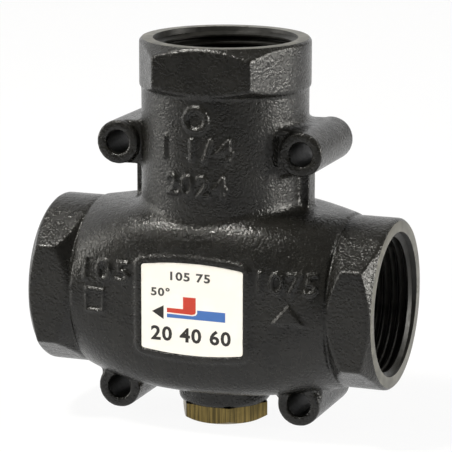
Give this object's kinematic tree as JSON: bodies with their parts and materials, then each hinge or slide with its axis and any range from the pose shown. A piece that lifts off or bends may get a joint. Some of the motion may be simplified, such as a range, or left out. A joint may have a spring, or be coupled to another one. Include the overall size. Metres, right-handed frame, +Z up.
{
  "type": "thermostatic mixing valve",
  "caption": "Cast three-way thermostatic mixing valve with threaded hexagon ports, fixing lugs, a front label, a brass bottom plug and a wax element with two discs inside.",
  "frame": {"origin": "centre of the bottom face of the bottom plug, the lowest point of the valve", "axes": "+X along the side ports' axis towards the cold port, -Y out of the labelled front, +Z up along the hot port"},
  "size_m": [0.105, 0.0547, 0.113],
  "materials": {
    "body_paint": "gloss black paint over sand-cast iron, machined port faces",
    "label": "satin printed foil",
    "plug_brass": "turned and drawn hexagon bar",
    "element_brass": "drawn and turned",
    "cage_brass": "hot pressed and turned",
    "seal_rubber": "moulded",
    "stainless": "pressed and ground",
    "spring_steel": "drawn wire and strip",
    "wax": "wax and metal powder"
  },
  "bodies": {
    "root": {"valve_body": "body_paint", "rating_label": "label", "bottom_plug": "plug_brass", "plug_o_ring": "seal_rubber", "piston_pad": "stainless", "piston": "stainless", "main_spring": "spring_steel", "seat_cage": "cage_brass", "cage_o_ring": "seal_rubber", "retaining_ring": "spring_steel"},
    "thermostat": {"element_guide": "element_brass", "element_diaphragm": "seal_rubber", "element_cup": "element_brass", "wax_charge": "wax", "bypass_stem": "element_brass", "main_disc": "stainless", "main_disc_seal": "seal_rubber", "stem_clip": "spring_steel", "bypass_spring": "spring_steel"},
    "hot_disc": {"bypass_disc": "stainless"}
  },
  "joints": [
    {"name": "thermostat_lift", "type": "slide", "parent": "root", "child": "thermostat", "axis": [0, 0, 1], "range_m": [0, 0.007], "stiffness_N_per_m": 600, "deforming": ["main_spring"]},
    {"name": "hot_disc_yield", "type": "slide", "parent": "thermostat", "child": "hot_disc", "axis": [0, 0, -1], "range_m": [0, 0.002], "stiffness_N_per_m": 400, "springref_m": -0.001, "deforming": ["bypass_spring"]}
  ]
}
